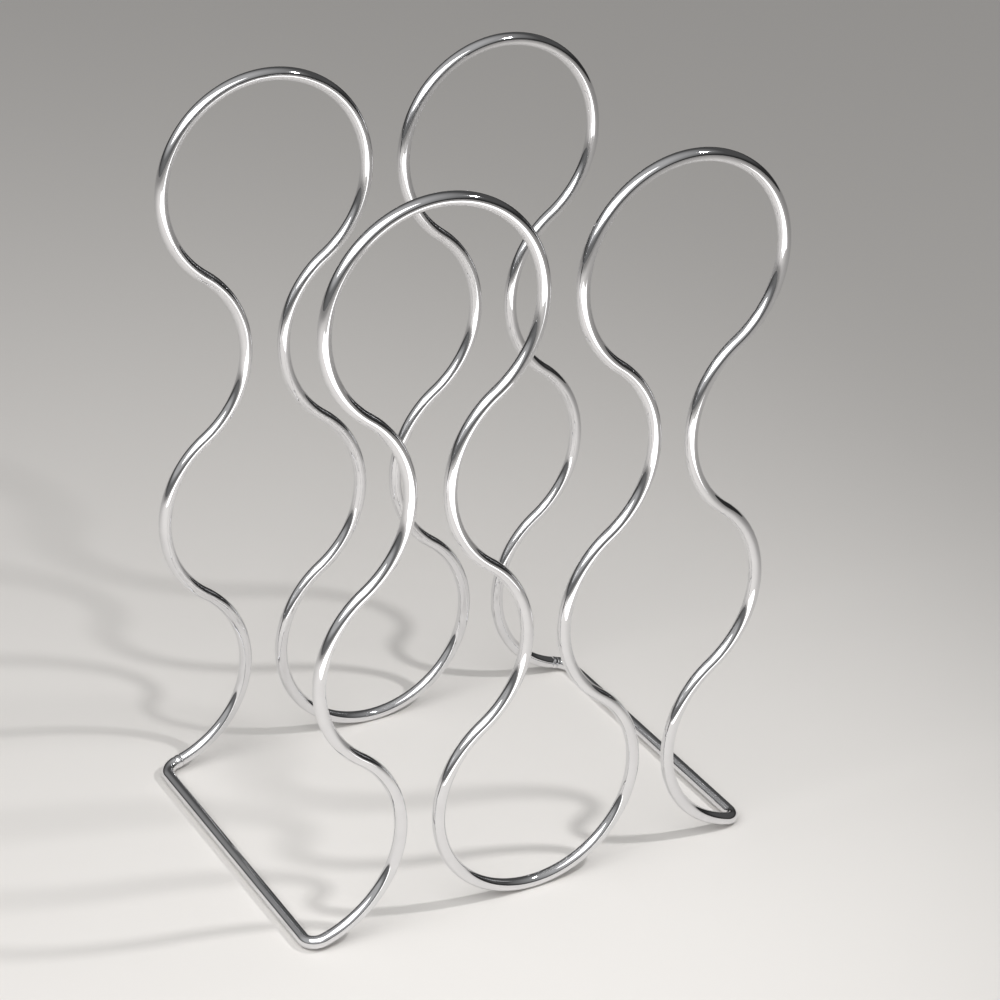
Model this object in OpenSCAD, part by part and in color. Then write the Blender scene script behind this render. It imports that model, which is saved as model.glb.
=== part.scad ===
// Countertop wine rack: two upright serpentine frames of chromed round rod, one behind the other,
// joined along the table by two straight foot rods.
// X is the width, Y the depth with the front at -Y, Z is up, and the rods rest on Z = 0.

/* [Bottle cells] */
// clear diameter inside each bottle loop
cell_d = 95; // [76:0.5:118]
// clear gap between the two top loops, and between any two neighbouring loops of one row
neck_gap = 12.9; // [8:0.2:20]

/* [Rod] */
// diameter of the round rod
rod_d = 6; // [4:0.1:8]
// centreline radius of the four tight bends at the corners of the base
corner_r = 7; // [5:0.1:12]

/* [Overall] */
// overall depth of the rack, outside the front rod to outside the rear rod
rack_depth = 165; // [130:1:210]

/* [Rear butt welds] */
// length of each weld along the rod
weld_len = 2.4; // [1.6:0.1:4]
// how far the weld stands proud of the rod all round
weld_crown = 0.2; // [0.1:0.05:0.5]

/* [Hidden] */
$fn = 64;
rod_r = rod_d / 2;
// centreline radius of every loop and bow
loop_r = (cell_d + rod_d) / 2;
// sideways step from one column of cells to the next
pitch = loop_r + (rod_d + neck_gap) / 2;
// upward step from one row to the next: neighbouring arcs are tangent, 2 * loop_r apart
row_step = sqrt(4 * loop_r * loop_r - pitch * pitch);
// slope of the line joining two neighbouring arc centres
climb = acos(pitch / (2 * loop_r));
row_1 = rod_r + loop_r;
row_2 = row_1 + row_step;
row_3 = row_2 + row_step;
row_4 = row_3 + row_step;
front_y = -(rack_depth - rod_d) / 2;
rear_y = (rack_depth - rod_d) / 2;
// where the foot bow stops: steep enough for the corner bend to land its foot rod on the table
foot_turn = 2 * atan(corner_r / loop_r);
bend_x = 2 * pitch - loop_r * sin(foot_turn);
bend_z = row_1 - loop_r * cos(foot_turn);
foot_x = bend_x + corner_r * cos(foot_turn);
weld_turn = weld_len / loop_r * 180 / PI;

chrome_front = [0.80, 0.81, 0.83];
chrome_rear = [0.70, 0.72, 0.75];
chrome_base = [0.76, 0.77, 0.80];
weld_grey = [0.55, 0.56, 0.58];

// ---- helpers ----

// a length of rod bent to an arc in an upright plane, centre (x, z), angles from +X towards +Z
module rod_arc(x, z, start, turn, y, d) {
    translate([x, y, z])
        rotate([90, 0, 0])
            rotate([0, 0, start])
                rotate_extrude(angle = turn)
                    translate([loop_r, 0])
                        circle(d = d);
}

// a bow on one side of a centre: facing 0 is the right side of it, 180 the left side
module cell_bow(x, z, facing, y) {
    rod_arc(x, z, facing - climb, 2 * climb, y, rod_d);
}

// a loop closed over the top and open below
module top_loop(x, y) {
    rod_arc(x, row_4, -climb, 180 + 2 * climb, y, rod_d);
}

// the loop closed underneath and open above
module bottom_loop(y) {
    rod_arc(0, row_1, 180 - climb, 180 + 2 * climb, y, rod_d);
}

// the last bow of an upright, down to where the corner bend or its weld begins
module foot_bow(side, y) {
    cut = y > 0 ? weld_turn : 0;
    low = -90 + foot_turn + cut;
    start = side < 0 ? low : 180 - climb;
    rod_arc(side * 2 * pitch, row_1, start, climb - low, y, rod_d);
}

// a quarter turn from an upright's last bow into the foot rod
module corner_bend(side, end) {
    translate([side * bend_x, end * (rear_y - corner_r), bend_z])
        rotate([0, side < 0 ? 180 - foot_turn : foot_turn, 0])
            rotate([0, 0, end < 0 ? -90 : 0])
                rotate_extrude(angle = 90)
                    translate([corner_r, 0])
                        circle(d = rod_d);
}

// a straight rod from the front corner bend to the rear one
module foot_rod(side) {
    translate([side * foot_x, 0, rod_r])
        rotate([90, 0, 0])
            cylinder(h = 2 * (rear_y - corner_r), d = rod_d, center = true);
}

// the ring of weld metal between the rear corner bend and the rear upright
module butt_weld(side) {
    low = -90 + foot_turn;
    start = side < 0 ? low : 270 - foot_turn - weld_turn;
    rod_arc(side * 2 * pitch, row_1, start, weld_turn, rear_y, rod_d + 2 * weld_crown);
}

// ---- the front upright, one long bent rod, from its left foot to its right foot ----

// S-bend that comes down from the lower outer bow to the table
module front_left_foot_bow() {
    color(chrome_front)
        foot_bow(-1, front_y);
}

// outer side of the lower left bottle cell
module front_left_lower_outer_bow() {
    color(chrome_front)
        cell_bow(-pitch, row_2, 180, front_y);
}

// inward waist between the lower and top left cells
module front_left_waist_bow() {
    color(chrome_front)
        cell_bow(-2 * pitch, row_3, 0, front_y);
}

// loop over the top left bottle
module front_left_top_loop() {
    color(chrome_front)
        top_loop(-pitch, front_y);
}

// left side of the upper middle bottle cell
module front_left_upper_inner_bow() {
    color(chrome_front)
        cell_bow(0, row_3, 180, front_y);
}

// inner side of the lower left bottle cell
module front_left_lower_inner_bow() {
    color(chrome_front)
        cell_bow(-pitch, row_2, 0, front_y);
}

// loop under the bottom middle bottle, standing on the table
module front_bottom_loop() {
    color(chrome_front)
        bottom_loop(front_y);
}

// inner side of the lower right bottle cell
module front_right_lower_inner_bow() {
    color(chrome_front)
        cell_bow(pitch, row_2, 180, front_y);
}

// right side of the upper middle bottle cell
module front_right_upper_inner_bow() {
    color(chrome_front)
        cell_bow(0, row_3, 0, front_y);
}

// loop over the top right bottle
module front_right_top_loop() {
    color(chrome_front)
        top_loop(pitch, front_y);
}

// inward waist between the lower and top right cells
module front_right_waist_bow() {
    color(chrome_front)
        cell_bow(2 * pitch, row_3, 180, front_y);
}

// outer side of the lower right bottle cell
module front_right_lower_outer_bow() {
    color(chrome_front)
        cell_bow(pitch, row_2, 0, front_y);
}

// S-bend that comes down from the lower outer bow to the table
module front_right_foot_bow() {
    color(chrome_front)
        foot_bow(1, front_y);
}

// ---- the rear upright, bent to the same pattern, from its left foot to its right foot ----

// S-bend that comes down from the lower outer bow to the table
module rear_left_foot_bow() {
    color(chrome_rear)
        foot_bow(-1, rear_y);
}

// outer side of the lower left bottle cell
module rear_left_lower_outer_bow() {
    color(chrome_rear)
        cell_bow(-pitch, row_2, 180, rear_y);
}

// inward waist between the lower and top left cells
module rear_left_waist_bow() {
    color(chrome_rear)
        cell_bow(-2 * pitch, row_3, 0, rear_y);
}

// loop over the top left bottle
module rear_left_top_loop() {
    color(chrome_rear)
        top_loop(-pitch, rear_y);
}

// left side of the upper middle bottle cell
module rear_left_upper_inner_bow() {
    color(chrome_rear)
        cell_bow(0, row_3, 180, rear_y);
}

// inner side of the lower left bottle cell
module rear_left_lower_inner_bow() {
    color(chrome_rear)
        cell_bow(-pitch, row_2, 0, rear_y);
}

// loop under the bottom middle bottle, standing on the table
module rear_bottom_loop() {
    color(chrome_rear)
        bottom_loop(rear_y);
}

// inner side of the lower right bottle cell
module rear_right_lower_inner_bow() {
    color(chrome_rear)
        cell_bow(pitch, row_2, 180, rear_y);
}

// right side of the upper middle bottle cell
module rear_right_upper_inner_bow() {
    color(chrome_rear)
        cell_bow(0, row_3, 0, rear_y);
}

// loop over the top right bottle
module rear_right_top_loop() {
    color(chrome_rear)
        top_loop(pitch, rear_y);
}

// inward waist between the lower and top right cells
module rear_right_waist_bow() {
    color(chrome_rear)
        cell_bow(2 * pitch, row_3, 180, rear_y);
}

// outer side of the lower right bottle cell
module rear_right_lower_outer_bow() {
    color(chrome_rear)
        cell_bow(pitch, row_2, 0, rear_y);
}

// S-bend that comes down from the lower outer bow to the table
module rear_right_foot_bow() {
    color(chrome_rear)
        foot_bow(1, rear_y);
}

// ---- the base: tight corner bends, the two foot rods and the rear butt welds ----

// tight bend that turns the front upright into the left foot rod
module front_left_corner() {
    color(chrome_base)
        corner_bend(-1, -1);
}

// tight bend that turns the rear upright into the left foot rod
module rear_left_corner() {
    color(chrome_base)
        corner_bend(-1, 1);
}

// tight bend that turns the front upright into the right foot rod
module front_right_corner() {
    color(chrome_base)
        corner_bend(1, -1);
}

// tight bend that turns the rear upright into the right foot rod
module rear_right_corner() {
    color(chrome_base)
        corner_bend(1, 1);
}

// straight rod along the table under the left side
module left_foot_rod() {
    color(chrome_base)
        foot_rod(-1);
}

// straight rod along the table under the right side
module right_foot_rod() {
    color(chrome_base)
        foot_rod(1);
}

// butt weld where the rear upright meets the left rear corner bend
module rear_left_weld() {
    color(weld_grey)
        butt_weld(-1);
}

// butt weld where the rear upright meets the right rear corner bend
module rear_right_weld() {
    color(weld_grey)
        butt_weld(1);
}

// ---- draw ----

front_left_foot_bow();
front_left_lower_outer_bow();
front_left_waist_bow();
front_left_top_loop();
front_left_upper_inner_bow();
front_left_lower_inner_bow();
front_bottom_loop();
front_right_lower_inner_bow();
front_right_upper_inner_bow();
front_right_top_loop();
front_right_waist_bow();
front_right_lower_outer_bow();
front_right_foot_bow();
rear_left_foot_bow();
rear_left_lower_outer_bow();
rear_left_waist_bow();
rear_left_top_loop();
rear_left_upper_inner_bow();
rear_left_lower_inner_bow();
rear_bottom_loop();
rear_right_lower_inner_bow();
rear_right_upper_inner_bow();
rear_right_top_loop();
rear_right_waist_bow();
rear_right_lower_outer_bow();
rear_right_foot_bow();
front_left_corner();
rear_left_corner();
front_right_corner();
rear_right_corner();
left_foot_rod();
right_foot_rod();
rear_left_weld();
rear_right_weld();
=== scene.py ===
import math
import bmesh
import bpy
from mathutils import Matrix, Vector, noise


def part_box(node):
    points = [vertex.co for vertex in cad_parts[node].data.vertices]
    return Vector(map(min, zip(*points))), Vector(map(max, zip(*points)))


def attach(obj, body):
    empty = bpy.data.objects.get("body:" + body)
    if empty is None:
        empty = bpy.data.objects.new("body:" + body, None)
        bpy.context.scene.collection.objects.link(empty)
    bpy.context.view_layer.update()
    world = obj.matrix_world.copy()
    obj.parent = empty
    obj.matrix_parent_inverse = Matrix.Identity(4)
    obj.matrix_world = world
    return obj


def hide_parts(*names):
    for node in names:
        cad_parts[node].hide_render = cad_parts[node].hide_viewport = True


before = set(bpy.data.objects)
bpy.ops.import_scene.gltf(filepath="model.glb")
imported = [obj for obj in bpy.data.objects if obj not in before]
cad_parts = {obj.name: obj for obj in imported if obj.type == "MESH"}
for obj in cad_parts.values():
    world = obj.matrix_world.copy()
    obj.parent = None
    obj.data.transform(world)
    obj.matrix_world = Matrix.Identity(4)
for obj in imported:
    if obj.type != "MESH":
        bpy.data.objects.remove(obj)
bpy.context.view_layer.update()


# ---------------------------------------------------------------------------
# The long bent rod: front upright, both foot rods and all four corner bends. One length
# of mild steel rod, cold bent round a former into bows and loops, then bent back along the
# table on each side. It is chrome plated only after the rear upright is welded on.
# ---------------------------------------------------------------------------
foot_low, foot_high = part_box("left_foot_rod")
rod_radius = round((foot_high.z - foot_low.z) / 2, 5)
loop_low, loop_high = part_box("front_right_top_loop")
bend_radius = round((loop_high.x - loop_low.x) / 2 - rod_radius, 5)
column_step = round((loop_high.x + loop_low.x) / 2, 5)
base_low, base_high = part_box("front_bottom_loop")
front_y = round((base_low.y + base_high.y) / 2, 5)
rear_low, rear_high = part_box("rear_bottom_loop")
rear_y = round((rear_low.y + rear_high.y) / 2, 5)
corner_radius = round(foot_low.y - front_y, 5)
climb = math.acos(column_step / (2 * bend_radius))
first_row = rod_radius + bend_radius
row_step = 2 * bend_radius * math.sin(climb)
foot_turn = 2 * math.atan(corner_radius / bend_radius)


def bow(centre_x, row, start, end, y):
    """Points along one bow of an upright, a ring of the bar every degree and a half."""
    z = first_row + row * row_step
    count = max(2, round(abs(end - start) / math.radians(1.5)))
    turns = [start + (end - start) * i / count for i in range(count + 1)]
    return [Vector((centre_x + bend_radius * math.cos(t), y, z + bend_radius * math.sin(t)))
            for t in turns]


def join_up(*runs):
    """One line of points from runs that meet end to end."""
    same_point = 5e-5
    line = []
    for run in runs:
        line += run[1:] if line and (run[0] - line[-1]).length < same_point else run
    return line


def half_upright(y, trim):
    """The left half of an upright, from its foot up over the top loop and down to the middle."""
    c, p = climb, column_step
    return join_up(
        bow(-2 * p, 0, -math.pi / 2 + foot_turn + trim, c, y),
        bow(-p, 1, math.pi + c, math.pi - c, y),
        bow(-2 * p, 2, -c, c, y),
        bow(-p, 3, math.pi + c, -c, y),
        bow(0, 2, math.pi - c, math.pi + c, y),
        bow(-p, 1, c, -c, y),
        bow(0, 0, math.pi - c, 1.5 * math.pi, y))


def whole_upright(y, trim):
    """Both halves; trim is the angle cut off each foot end to leave room for a weld."""
    left = half_upright(y, trim)
    right = [Vector((-p.x, p.y, p.z)) for p in reversed(left)]
    return join_up(left, right)


def corner(side, end):
    """The tight bend from an upright into its foot rod, walked from the upright."""
    along = Vector((side * math.cos(foot_turn), 0, -math.sin(foot_turn)))
    inward = Vector((0, -end, 0))
    start = Vector((side * (2 * column_step - bend_radius * math.sin(foot_turn)),
                    rear_y if end > 0 else front_y,
                    first_row - bend_radius * math.cos(foot_turn)))
    centre = start + inward * corner_radius
    steps = 24
    turns = [math.pi / 2 * i / steps for i in range(steps + 1)]
    return [centre - inward * corner_radius * math.cos(t) + along * corner_radius * math.sin(t)
            for t in turns]


def round_bar(name, line, swell=None):
    """A round bar swept along a line of points, with its length and girth kept as a UV map."""
    count, sides = len(line), 40
    way = [(line[min(i + 1, count - 1)] - line[max(i - 1, 0)]).normalized() for i in range(count)]
    side = way[0].orthogonal().normalized()
    shape = bmesh.new()
    uv = shape.loops.layers.uv.new("along_rod")
    rings, run = [], [0.0]
    for i, point in enumerate(line):
        if i:
            side = way[i - 1].rotation_difference(way[i]) @ side
            run.append(run[-1] + (point - line[i - 1]).length)
        side = (side - way[i] * side.dot(way[i])).normalized()
        up = way[i].cross(side)
        ring = []
        for k in range(sides):
            a = 2 * math.pi * k / sides
            out = side * math.cos(a) + up * math.sin(a)
            r = rod_radius if swell is None else rod_radius + swell(i, a, point)
            ring.append(shape.verts.new(point + out * r))
        rings.append(ring)
    for i in range(count - 1):
        for k in range(sides):
            n = (k + 1) % sides
            face = shape.faces.new((rings[i][k], rings[i][n], rings[i + 1][n], rings[i + 1][k]))
            face.smooth = True
            for loop, u, v in zip(face.loops, (run[i], run[i], run[i + 1], run[i + 1]),
                                  (k, k + 1, k + 1, k)):
                loop[uv].uv = (u, v / sides)
    shape.faces.new(rings[0])
    shape.faces.new(list(reversed(rings[-1])))
    bmesh.ops.recalc_face_normals(shape, faces=shape.faces)
    mesh = bpy.data.meshes.new(name)
    shape.to_mesh(mesh)
    shape.free()
    made = bpy.data.objects.new(name, mesh)
    bpy.context.scene.collection.objects.link(made)
    return made


def chrome_plate():
    """Bright decorative chrome over drawn steel rod: faint draw lines and a slight haze."""
    plate = bpy.data.materials.new("bright_chrome_plate")
    plate.use_nodes = True
    nodes, links = plate.node_tree.nodes, plate.node_tree.links
    shader = nodes["Principled BSDF"]
    shader.inputs["Metallic"].default_value = 1.0
    spot = nodes.new("ShaderNodeTexCoord")
    stretch = nodes.new("ShaderNodeMapping")
    stretch.inputs["Scale"].default_value = (60.0, 40.0, 1.0)
    draw_lines = nodes.new("ShaderNodeTexNoise")
    draw_lines.inputs["Scale"].default_value = 1.0
    draw_lines.inputs["Detail"].default_value = 3.0
    links.new(spot.outputs["UV"], stretch.inputs["Vector"])
    links.new(stretch.outputs["Vector"], draw_lines.inputs["Vector"])
    haze = nodes.new("ShaderNodeTexNoise")
    haze.inputs["Scale"].default_value = 140.0
    haze.inputs["Detail"].default_value = 5.0
    links.new(spot.outputs["Object"], haze.inputs["Vector"])
    gloss = nodes.new("ShaderNodeMapRange")
    gloss.inputs["From Min"].default_value = 0.35
    gloss.inputs["From Max"].default_value = 0.75
    gloss.inputs["To Min"].default_value = 0.03
    gloss.inputs["To Max"].default_value = 0.06
    links.new(haze.outputs["Fac"], gloss.inputs["Value"])
    links.new(gloss.outputs["Result"], shader.inputs["Roughness"])
    tone = nodes.new("ShaderNodeMix")
    tone.data_type = "RGBA"
    tone.inputs["A"].default_value = (0.83, 0.83, 0.84, 1)
    tone.inputs["B"].default_value = (0.74, 0.74, 0.755, 1)
    links.new(haze.outputs["Fac"], tone.inputs["Factor"])
    links.new(tone.outputs["Result"], shader.inputs["Base Color"])
    ripple = nodes.new("ShaderNodeBump")
    ripple.inputs["Strength"].default_value = 0.006
    ripple.inputs["Distance"].default_value = 0.0002
    links.new(draw_lines.outputs["Fac"], ripple.inputs["Height"])
    links.new(ripple.outputs["Normal"], shader.inputs["Normal"])
    return plate


chrome = chrome_plate()
front_line = join_up(corner(-1, 1), list(reversed(corner(-1, -1))), whole_upright(front_y, 0.0),
                     corner(1, -1), list(reversed(corner(1, 1))))
front_rod = round_bar("front_rod_with_base", front_line)
front_rod.data.materials.append(chrome)
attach(front_rod, "root")
bow_names = ["left_foot_bow", "left_lower_outer_bow", "left_waist_bow", "left_top_loop",
             "left_upper_inner_bow", "left_lower_inner_bow", "bottom_loop",
             "right_lower_inner_bow", "right_upper_inner_bow", "right_top_loop",
             "right_waist_bow", "right_lower_outer_bow", "right_foot_bow"]
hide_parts(*["front_" + n for n in bow_names], "left_foot_rod", "right_foot_rod",
            "front_left_corner", "front_right_corner", "rear_left_corner", "rear_right_corner")


# ---------------------------------------------------------------------------
# The rear upright: a second length of the same rod, bent to the same pattern, and cut
# at each end to meet the base. It carries the same chrome plate.
# ---------------------------------------------------------------------------
weld_length = 0.0024
weld_turn = weld_length / bend_radius
rear_rod = round_bar("rear_rod", whole_upright(rear_y, weld_turn))
rear_rod.data.materials.append(chrome)
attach(rear_rod, "root")
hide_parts(*["rear_" + n for n in bow_names])


# ---------------------------------------------------------------------------
# The two rear butt welds: the rod ends are pressed together hot, which leaves a low
# ring of upset metal. It is dressed by hand before plating, so it stays a little uneven.
# ---------------------------------------------------------------------------
crown = 0.00015
weld_steps = 14


def weld_line(side):
    """The short run of rod that a weld takes up, along the foot bow's own bend."""
    start = -math.pi / 2 + foot_turn
    run = [start + weld_turn * i / weld_steps for i in range(weld_steps + 1)]
    return [Vector((side * (2 * column_step - bend_radius * math.cos(a)), rear_y,
                    first_row + bend_radius * math.sin(a))) for a in run]


def dressed_ring(i, around, point):
    """How far the weld's metal stands out of the rod, left uneven by a hand file."""
    rise = math.sin(math.pi * i / weld_steps) ** 2
    girth = Vector((math.cos(around), math.sin(around), 0))
    uneven = 0.85 + 0.4 * noise.noise(point * 900 + girth * 1.7)
    return crown * rise * uneven


weld_plate = chrome.copy()
weld_plate.name = "chrome_over_dressed_weld"
for part in weld_plate.node_tree.nodes:
    if part.bl_idname == "ShaderNodeMapRange":
        part.inputs["To Min"].default_value = 0.10
        part.inputs["To Max"].default_value = 0.28
    if part.bl_idname == "ShaderNodeBump":
        part.inputs["Strength"].default_value = 0.25
for side, label in ((-1, "left"), (1, "right")):
    weld = round_bar("rear_%s_weld_ring" % label, weld_line(side), dressed_ring)
    weld.data.materials.append(weld_plate)
    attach(weld, "root")
    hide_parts("rear_%s_weld" % label)


# ---------------------------------------------------------------------------
# The table: a wide sheet of matt white paper with nothing else on it, laid flat under the
# rack so that the bright rods and their shadows read against it.
# ---------------------------------------------------------------------------
bpy.ops.mesh.primitive_plane_add(size=8, location=(0, 0, 0))
table = bpy.context.object
table.name = "pale_table"
paper = bpy.data.materials.new("matt_white_paper")
paper.use_nodes = True
paper_shader = paper.node_tree.nodes["Principled BSDF"]
paper_shader.inputs["Base Color"].default_value = (0.80, 0.776, 0.748, 1)
paper_shader.inputs["Roughness"].default_value = 0.75
table.data.materials.append(paper)


# ---------------------------------------------------------------------------
# Studio light: a big soft box over the front left, a small bare lamp on the right for the
# crisp shadows, and a lit card on the table in front that shows only in the chrome. The room
# is dim at the back right and paler towards the ceiling over the front left.
# ---------------------------------------------------------------------------
def place_lamp(name, kind, place, aim, power):
    made = bpy.data.objects.new(name, bpy.data.lights.new(name, kind))
    bpy.context.scene.collection.objects.link(made)
    made.data.energy = power
    made.location = place
    made.rotation_mode = "QUATERNION"
    made.rotation_quaternion = Vector(aim).to_track_quat("-Z", "Y")
    return made


def light_panel(name, place, aim, width, depth, power):
    panel = place_lamp(name, "AREA", place, aim, power)
    panel.data.shape = "RECTANGLE"
    panel.data.size, panel.data.size_y = width, depth
    panel.visible_camera = False
    return panel


light_panel("soft_box", (-0.62, -0.44, 0.88), (0.14, 0.14, -0.88), 1.2, 0.9, 8.9)
table_card = light_panel("table_card", (-0.15, -0.56, 0.004), (0, 0, 1), 0.8, 0.42, 1.9)
table_card.visible_diffuse = False
bare_lamp = place_lamp("bare_lamp", "SPOT", (0.312, -0.283, 0.622), (-0.762, 0.483, -0.622), 8.0)
bare_lamp.data.shadow_soft_size = 0.022
bare_lamp.data.spot_size = math.radians(125)
bare_lamp.data.spot_blend = 1.0

room = bpy.data.worlds.new("dim_room_with_pale_ceiling")
room.use_nodes = True
wires = room.node_tree
sight = wires.nodes.new("ShaderNodeTexCoord")


def fade(source, start, end, low, high):
    """A ramp that turns the source's values from start to end into low to high."""
    step = wires.nodes.new("ShaderNodeMapRange")
    for name, value in (("From Min", start), ("From Max", end), ("To Min", low), ("To Max", high)):
        step.inputs[name].default_value = value
    wires.links.new(source, step.inputs["Value"])
    return step.outputs["Result"]


height = wires.nodes.new("ShaderNodeSeparateXYZ")
wires.links.new(sight.outputs["Generated"], height.inputs["Vector"])
toward = wires.nodes.new("ShaderNodeVectorMath")
toward.operation = "DOT_PRODUCT"
toward.inputs[1].default_value = (-0.58, -0.36, 0.73)
wires.links.new(sight.outputs["Generated"], toward.inputs[0])
both = wires.nodes.new("ShaderNodeMath")
both.operation = "MULTIPLY"
wires.links.new(fade(height.outputs["Z"], 0.14, 0.30, 0.35, 1.0), both.inputs[0])
wires.links.new(fade(toward.outputs["Value"], 0.05, 0.70, 0.08, 0.48), both.inputs[1])
wires.links.new(both.outputs["Value"], wires.nodes["Background"].inputs["Color"])
bpy.context.scene.world = room
bpy.context.scene.view_settings.view_transform = "Standard"


# ---------------------------------------------------------------------------
# The camera: a long lens on a stand at the front left, looking down on the rack.
# It is set level first, then rolled a little about its own axis.
# ---------------------------------------------------------------------------
lens_data = bpy.data.cameras.new("camera")
lens_data.lens = 105.88
lens_data.shift_x, lens_data.shift_y = -0.03, -0.08
lens_data.sensor_width = 36
lens_data.clip_start, lens_data.clip_end = 0.05, 20
camera = bpy.data.objects.new("camera", lens_data)
bpy.context.scene.collection.objects.link(camera)
turn, tilt, roll = -0.5484, 0.4572, 0.0491
back = Vector((math.sin(turn) * math.cos(tilt), -math.cos(turn) * math.cos(tilt), math.sin(tilt)))
look = Vector((0.0341, -0.0019, 0.1959))
across = Vector((0, 0, 1)).cross(back).normalized()
above = back.cross(across)
level = Matrix((across, above, back)).transposed()
camera.rotation_mode = "QUATERNION"
camera.rotation_quaternion = (level @ Matrix.Rotation(roll, 3, "Z")).to_quaternion()
distance = 1.33563
camera.location = look + back * distance
bpy.context.scene.camera = camera
